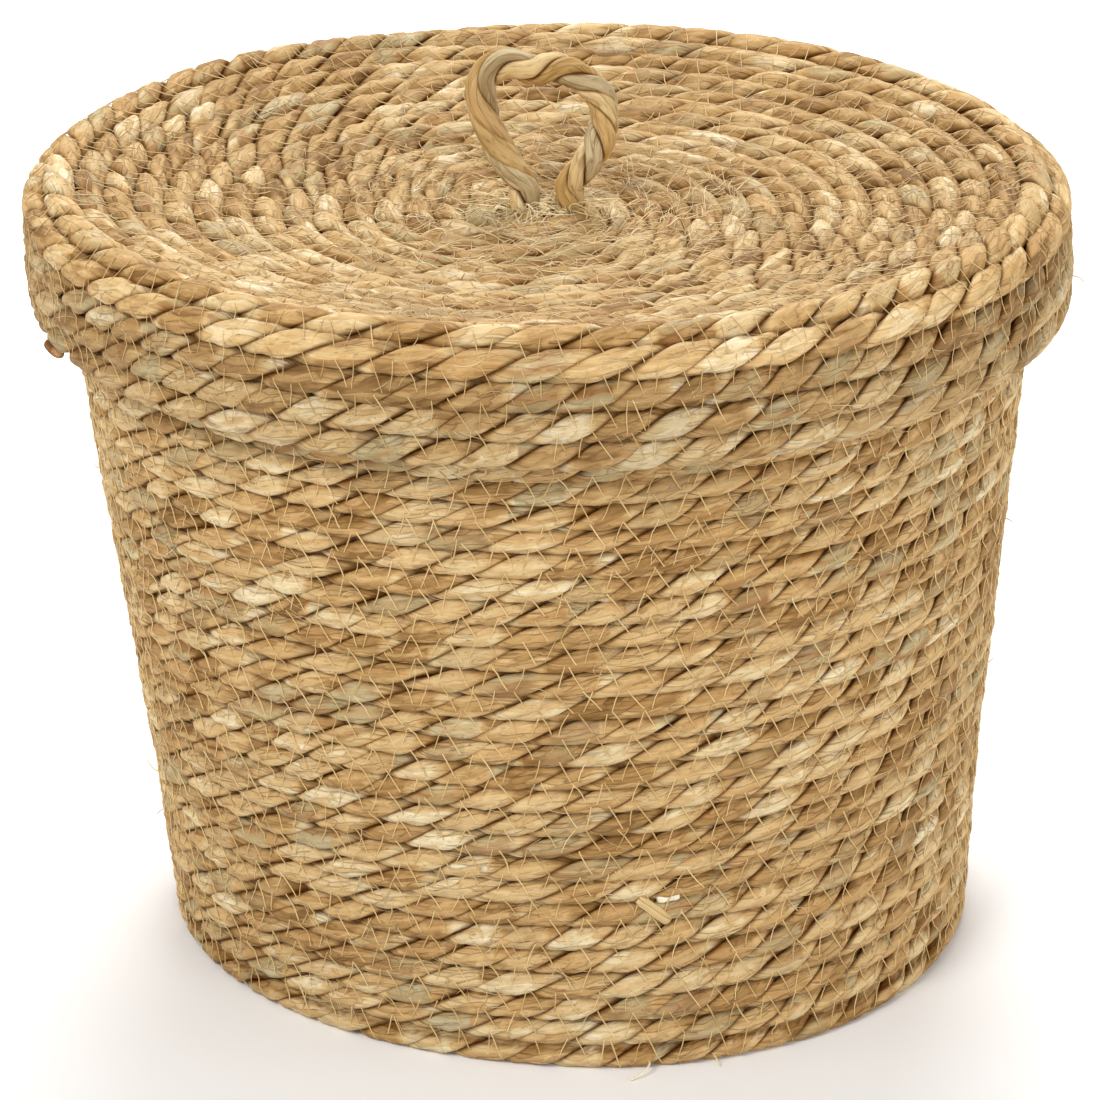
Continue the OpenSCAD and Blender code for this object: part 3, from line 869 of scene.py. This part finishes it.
handle_ply("handle_rope_ply_grey", 309, grey_leaf, ["handle_ply_grey"], 41)
handle_ply("handle_rope_ply_tan", 69, tan_leaf,
           ["handle_ply_tan", "handle_root_left", "handle_leg_left"], 51)
handle_ply("handle_rope_ply_gold", 189, gold_leaf,
           ["handle_ply_gold", "handle_root_right", "handle_leg_right"], 61)


def rope_stub(name, path, outs, rope_r, lay, seed, material, slot, body, nodes, plies=2):
    """A short twisted rope along a path of points, tapered at its ends, as one piece of several plies."""
    length = lengths_along(path)
    s = np.arange(0, length[-1], 1.5 * MM)
    centre = np.stack([np.interp(s, length, path[:, k]) for k in range(3)], -1)
    side, out = sides_of(centre, np.stack([np.interp(s, length, outs[:, k]) for k in range(3)], -1))
    taper = (0.45 + 0.55 * smooth(np.minimum(s, s[-1] - s) / (2 * rope_r)))[:, None]
    turn = corners(PLY_SIDES)
    all_points, all_fibre, all_light = [], [], []
    for ply in range(plies):
        phase = (-math.tau * s / lay + math.tau * ply / plies)[:, None]
        leaf_angle = turn + phase * (1 + LEAF_UNTWIST)
        relief = 1 + 0.1 * ridges(leaf_angle, s[:, None], 5, 0.012, seed + ply)
        sizes = [share * rope_r * taper for share in (PLY_OFFSET, PLY_THICK, PLY_WIDE)]
        offsets, fibre = ply_section(out, side, phase, sizes, turn, relief, 1, LEAF_UNTWIST,
                                     s[:, None] + seed + ply, math.inf)
        all_points.append((centre[:, None] + offsets).reshape(-1, 3))
        all_fibre.append(fibre.reshape(-1, 3))
        # The light attribute paints shade into the grooves between the stub's plies
        all_light.append(painted_groove_light(offsets / rope_r, out[:, None]).ravel())
    piece = build_mesh(name, lean(np.concatenate(all_points)), tube_faces(plies, len(s), PLY_SIDES),
                       material, np.concatenate(all_fibre), np.concatenate(all_light))
    place(piece, body, slot, nodes)


def arc(radius, height, from_deg, to_deg, steps=40):
    """Points on a level arc round the axis, and the directions away from the axis."""
    angle = np.radians(np.linspace(from_deg, to_deg, steps))
    out = np.stack((np.cos(angle), np.sin(angle), np.zeros(steps)), -1)
    return out * radius + UP * height, out


knot_r = (knot_hi.z - knot_lo.z) / 2
knot_path, knot_out = arc(knot_hi.x - knot_r, (knot_hi.z + knot_lo.z) / 2, 0, 352, 120)
rope_stub("handle_knot_rope", knot_path, knot_out, knot_r, 30 * MM, 71, tan_leaf, "handle_tan", "lid",
          ["handle_knot"])


rim_end_lo, rim_end_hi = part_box("rim_rope_end")
rim_end_r = (rim_end_hi.z - rim_end_lo.z) / 2
rim_path, rim_out = arc(rim_end_hi.y - rim_end_r, rim_end_hi.z - rim_end_r, 66, 96)
rope_stub("rim_rope_tail", rim_path, rim_out, rim_end_r, 26 * MM, 81, body_leaf, "rope_end", "basket",
          ["rim_rope_end"])


def on_wall(coil, bearing, height):
    """The point of a coil's outside at a bearing in degrees and a height, or just above or below if there is
    a gap, and the direction away from the axis."""
    away = np.array((math.cos(math.radians(bearing)), math.sin(math.radians(bearing)), 0.0))
    for step in (0, 1, -1, 2, -2, 3, -3):
        start = away * 0.4 + UP * (height + step * MM)
        hit = coil["tree"].ray_cast(Vector(start), Vector(-away), 0.4)
        if hit[0] is not None:
            break
    return np.array((hit[0].x, hit[0].y, height)), away


def leaf_strip(name, coil, marks, width, thickness, lift, seed, material, slot, body, nodes=()):
    """A flat strip of leaf laid over the outside of a coil through marks of (bearing, height)."""
    marks = np.array(marks, float)
    at = np.linspace(0, 1, 16)
    marks = np.column_stack([np.interp(at, np.linspace(0, 1, len(marks)), column) for column in marks.T])
    found = [on_wall(coil, bearing, height) for bearing, height in marks]
    points, outs = np.array([f[0] for f in found]), np.array([f[1] for f in found])
    reach = pull_taut(np.linalg.norm(points[:, :2], axis=1), 8)
    points = outs * (reach + lift)[:, None] + UP * points[:, 2:]
    side, out = sides_of(points, outs)
    turn = corners(STRIP_SIDES)
    taper = (0.75 + 0.25 * smooth(np.minimum(at, 1 - at) * 8))[:, None]
    ragged = 1 + 0.12 * ridges(turn[None, :] + 0 * at[:, None], at[:, None] * 0.02, 5, 0.004, seed)
    spread = width / 2 * np.sign(np.cos(turn)) * np.abs(np.cos(turn)) ** 0.6 * taper * ragged
    depth = thickness / 2 * np.sin(turn) * taper
    shape = points[:, None] + spread[..., None] * side[:, None] + depth[..., None] * out[:, None]
    fibre = np.stack((spread, depth, np.broadcast_to(at[:, None] * 0.02 + seed, spread.shape)), -1)
    piece = build_mesh(name, lean(shape.reshape(-1, 3)), tube_faces(1, len(at), STRIP_SIDES), material,
                       fibre.reshape(-1, 3), np.ones(spread.size))
    place(piece, body, slot, nodes)


def cut_end(name, path, outs, radius, tilt, seed, material, slot, body, nodes):
    """A short free end cut off square: an oval, tilted section with a dark rim and a pale cut face."""
    at = np.linspace(0, 1, len(path))
    side, out = sides_of(path, outs)
    turn = corners(CUT_SIDES)
    swell = np.sqrt(np.clip(1 - np.abs(2 * at - 1) ** 7 * 0.995, 0, 1))[:, None]
    relief = 1 + 0.14 * ridges(turn[None, :] + 0 * at[:, None], at[:, None] * 0.01, 8, 0.006, seed)
    longer = 1.25 * radius * np.cos(turn) * swell * relief
    shorter = 0.8 * radius * np.sin(turn) * swell * relief
    reach = longer * math.cos(tilt) + shorter * math.sin(tilt)
    spread = shorter * math.cos(tilt) - longer * math.sin(tilt)
    points = path[:, None] + reach[..., None] * out[:, None] + spread[..., None] * side[:, None]
    fibre = np.stack((reach, spread, np.broadcast_to(at[:, None] * 0.01 + seed, reach.shape)), -1)
    light = np.broadcast_to(1 - 0.9 * smooth((swell - 0.55) / 0.4), reach.shape)
    piece = build_mesh(name, lean(points.reshape(-1, 3)), tube_faces(1, len(at), CUT_SIDES), material,
                       fibre.reshape(-1, 3), light)
    place(piece, body, slot, nodes)


splice_lo, splice_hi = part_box("wall_splice_end")
splice_z = (splice_lo.z + splice_hi.z) / 2
leaf_strip("wall_splice_leaf", basket_coil, [(279.3, splice_z + 2.5 * MM), (283.8, splice_z - 10 * MM)],
           5 * MM, 1.6 * MM, 0.6 * MM, 83, tan_leaf, "rope_end", "basket", ["wall_splice_end"])
leaf_strip("wall_splice_sliver", basket_coil, [(281.9, splice_z + 1.0 * MM), (284.9, splice_z + 2.0 * MM)],
           3.6 * MM, 1.2 * MM, 0.3 * MM, 84, pale_leaf, "rope_end", "basket")

skirt_end_lo, skirt_end_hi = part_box("skirt_rope_end")
skirt_end_r = (skirt_end_hi.z - skirt_end_lo.z) / 2
skirt_end_at = -skirt_end_lo.x / math.cos(math.radians(18.2)) - skirt_end_r - 1.5 * MM
skirt_path, skirt_out = arc(skirt_end_at, skirt_end_hi.z - skirt_end_r, 197.6, 200.8, 18)
cut_end("skirt_rope_tail", skirt_path, skirt_out, 1.1 * skirt_end_r, math.radians(38), 85, brown_leaf,
        "rope_end", "lid", ["skirt_rope_end"])

# Loose whiskers: the root's bearing in degrees, and in millimetres the root's height, how far the tip stands
# away, to the left and up, and the radius at the root
BASKET_WHISKERS = [
    (279.5, 4, 8, 10, -3.5, 0.5), (288.5, 4, 5, -1, -3.5, 0.4), (186, 255, 5, 1, 1, 0.7),
    (186, 205, 5, 0, 3, 0.3), (191, 70, 5, 2, 6, 0.3), (188, 48, 4, 1, -3, 0.3),
    (356, 180, 5, 0, -2, 0.35), (350, 120, 4, 1, 3, 0.3), (189, 140, 4, 1, 2, 0.3),
]
LID_WHISKERS = [(178, 300, 3, 2, -2, 0.35), (352, 296, 5, -1, -3, 0.35), (148, 325, 5, -2, 4, 0.3)]


def whiskers(coil, body, rows):
    """The whiskers that stand off one coil."""
    share = np.linspace(0, 1, 8)[:, None]
    paths, outs, radii = [], [], []
    for bearing, height, away_mm, left_mm, up_mm, radius in rows:
        root, away = on_wall(coil, bearing, height * MM)
        left = np.cross(UP, away)
        tip = (away * away_mm - left * left_mm + UP * up_mm) * MM
        paths.append(root - away * 1.5 * MM + away * (away_mm + 1.5) * MM * np.sqrt(share)
                     + (tip - away * away_mm * MM) * share ** 1.5)
        outs.append(np.broadcast_to(unit(np.cross(away, tip + left * 1e-4)), paths[-1].shape))
        radii.append(radius * MM * (1 - 0.35 * share[:, 0]))
    piece = thin_tubes(f"{body}_whiskers", np.array(paths), np.array(outs), np.array(radii), 5, bare_fibre)
    place(piece, body, "frayed_fibre")


whiskers(basket_coil, "basket", BASKET_WHISKERS)
whiskers(lid_coil, "lid", LID_WHISKERS)


def tuft(name, count, longest, thinnest, thickest, highest, seed, nodes=()):
    """Frayed bits that spread from the loop's feet over the middle of the lid."""
    rng = np.random.default_rng(seed)
    points = 8
    share = np.linspace(0, 1, points)
    foot = rng.choice((-LEG_X - 2 * MM, 0.0, LEG_X), count, p=(0.5, 0.2, 0.3))
    bearing = rng.uniform(0, math.tau, count)
    start = rng.uniform(1, 8, count) * MM
    reach = rng.uniform(0.25, 1, count) * longest
    curl = rng.normal(0, 1.2, count)
    direction = bearing[:, None] + curl[:, None] * share
    step = (reach / points)[:, None]
    from_foot = start[:, None]
    x = foot[:, None] + np.cos(bearing)[:, None] * from_foot + np.cumsum(np.cos(direction) * step, axis=1)
    y = np.sin(bearing)[:, None] * from_foot + np.cumsum(np.sin(direction) * step, axis=1)
    floor_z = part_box("lid_disc_rope")[0].z + LID_ROPE_R
    centre = np.stack((x, y, np.full(x.shape, floor_z)), -1)
    outs = np.broadcast_to(UP, centre.shape)
    height = pull_taut(surface_height(lid_coil["tree"], centre, outs, 3 * LID_ROPE_R), 8)
    lift = rng.uniform(0.2, 1, (count, 1)) ** 2 * highest * np.sin(math.pi * (0.15 + 0.8 * share))
    paths = centre + outs * (height + 0.2 * MM + lift)[..., None]
    radii = (thinnest + (thickest - thinnest) * rng.random((count, 1)) ** 3) * (1 - 0.5 * share)
    place(thin_tubes(name, paths, outs, radii, 4, bare_fibre), "lid", "frayed_fibre", nodes)


tuft("handle_tuft", 180, 30 * MM, 0.14 * MM, 0.45 * MM, 6 * MM, 91, ["handle_fringe"])
tuft("handle_tuft_leaves", 30, 11 * MM, 0.8 * MM, 1.8 * MM, 2 * MM, 92)


# -------- floor, light, camera

def stage_floor():
    """The pale floor that the basket stands on."""
    material = bpy.data.materials.new("floor")
    material.use_nodes = True
    shader = material.node_tree.nodes["Principled BSDF"]
    shader.inputs["Base Color"].default_value = (0.9, 0.9, 0.9, 1)
    shader.inputs["Roughness"].default_value = 0.9
    bpy.ops.mesh.primitive_plane_add(size=24)
    floor = bpy.context.object
    floor.name = "floor"
    floor.data.materials.append(material)


def area_light(name, spot, target, size, power, colour=(1, 1, 1)):
    """A round soft light at a spot, turned to its target."""
    light = bpy.data.lights.new(name, "AREA")
    light.shape = "DISK"
    light.size = size
    light.energy = power
    light.color = colour
    lamp = bpy.data.objects.new(name, light)
    lamp.location = spot
    lamp.rotation_euler = (Vector(target) - Vector(spot)).to_track_quat("-Z", "Y").to_euler()
    bpy.context.scene.collection.objects.link(lamp)


stage_floor()
middle = (cad_box[0] + cad_box[1]) / 2
area_light("key", (-0.9, -1.5, 1.75), middle, 1.0, 29, (1, 0.99, 0.97))
area_light("fill", (1.5, -1.9, 0.7), middle, 1.4, 17)
area_light("left", (-2.3, -0.5, 0.6), middle, 1.0, 8)
area_light("right", (2.3, -0.5, 0.6), middle, 1.0, 9)
area_light("top", (0.1, 1.4, 2.2), middle, 1.4, 49)
# Lights only the floor behind the basket, so that it is as pale as the floor in front
area_light("behind", (0, 3.2, 2.6), (0, 3.4, 0), 2.4, 75)

world = bpy.data.worlds.new("studio")
world.use_nodes = True
world.node_tree.nodes["Background"].inputs["Color"].default_value = (1, 1, 1, 1)
world.node_tree.nodes["Background"].inputs["Strength"].default_value = 0.44
bpy.context.scene.world = world
bpy.context.scene.view_settings.view_transform = "Standard"

# The camera stands in front, above the lid, and looks down at the middle of the basket
CAMERA_DISTANCE = 2.4
CAMERA_RISE = math.radians(22)
LOOK_HEIGHT = 0.168
LOOK_LEFT = 3.9 * MM
LOOK_DOWN = 7.8 * MM

back = Vector((0, -math.cos(CAMERA_RISE), math.sin(CAMERA_RISE)))
camera_up = Vector((0, math.sin(CAMERA_RISE), math.cos(CAMERA_RISE)))
look_at = Vector((-LOOK_LEFT, 0, LOOK_HEIGHT)) - camera_up * LOOK_DOWN
camera = bpy.data.objects.new("camera", bpy.data.cameras.new("camera"))
camera.data.sensor_width = 36
camera.data.lens = 181.6
camera.location = look_at + back * CAMERA_DISTANCE
camera.rotation_euler = (-back).to_track_quat("-Z", "Y").to_euler()
camera.data.clip_end = 50
bpy.context.scene.collection.objects.link(camera)
bpy.context.scene.camera = camera
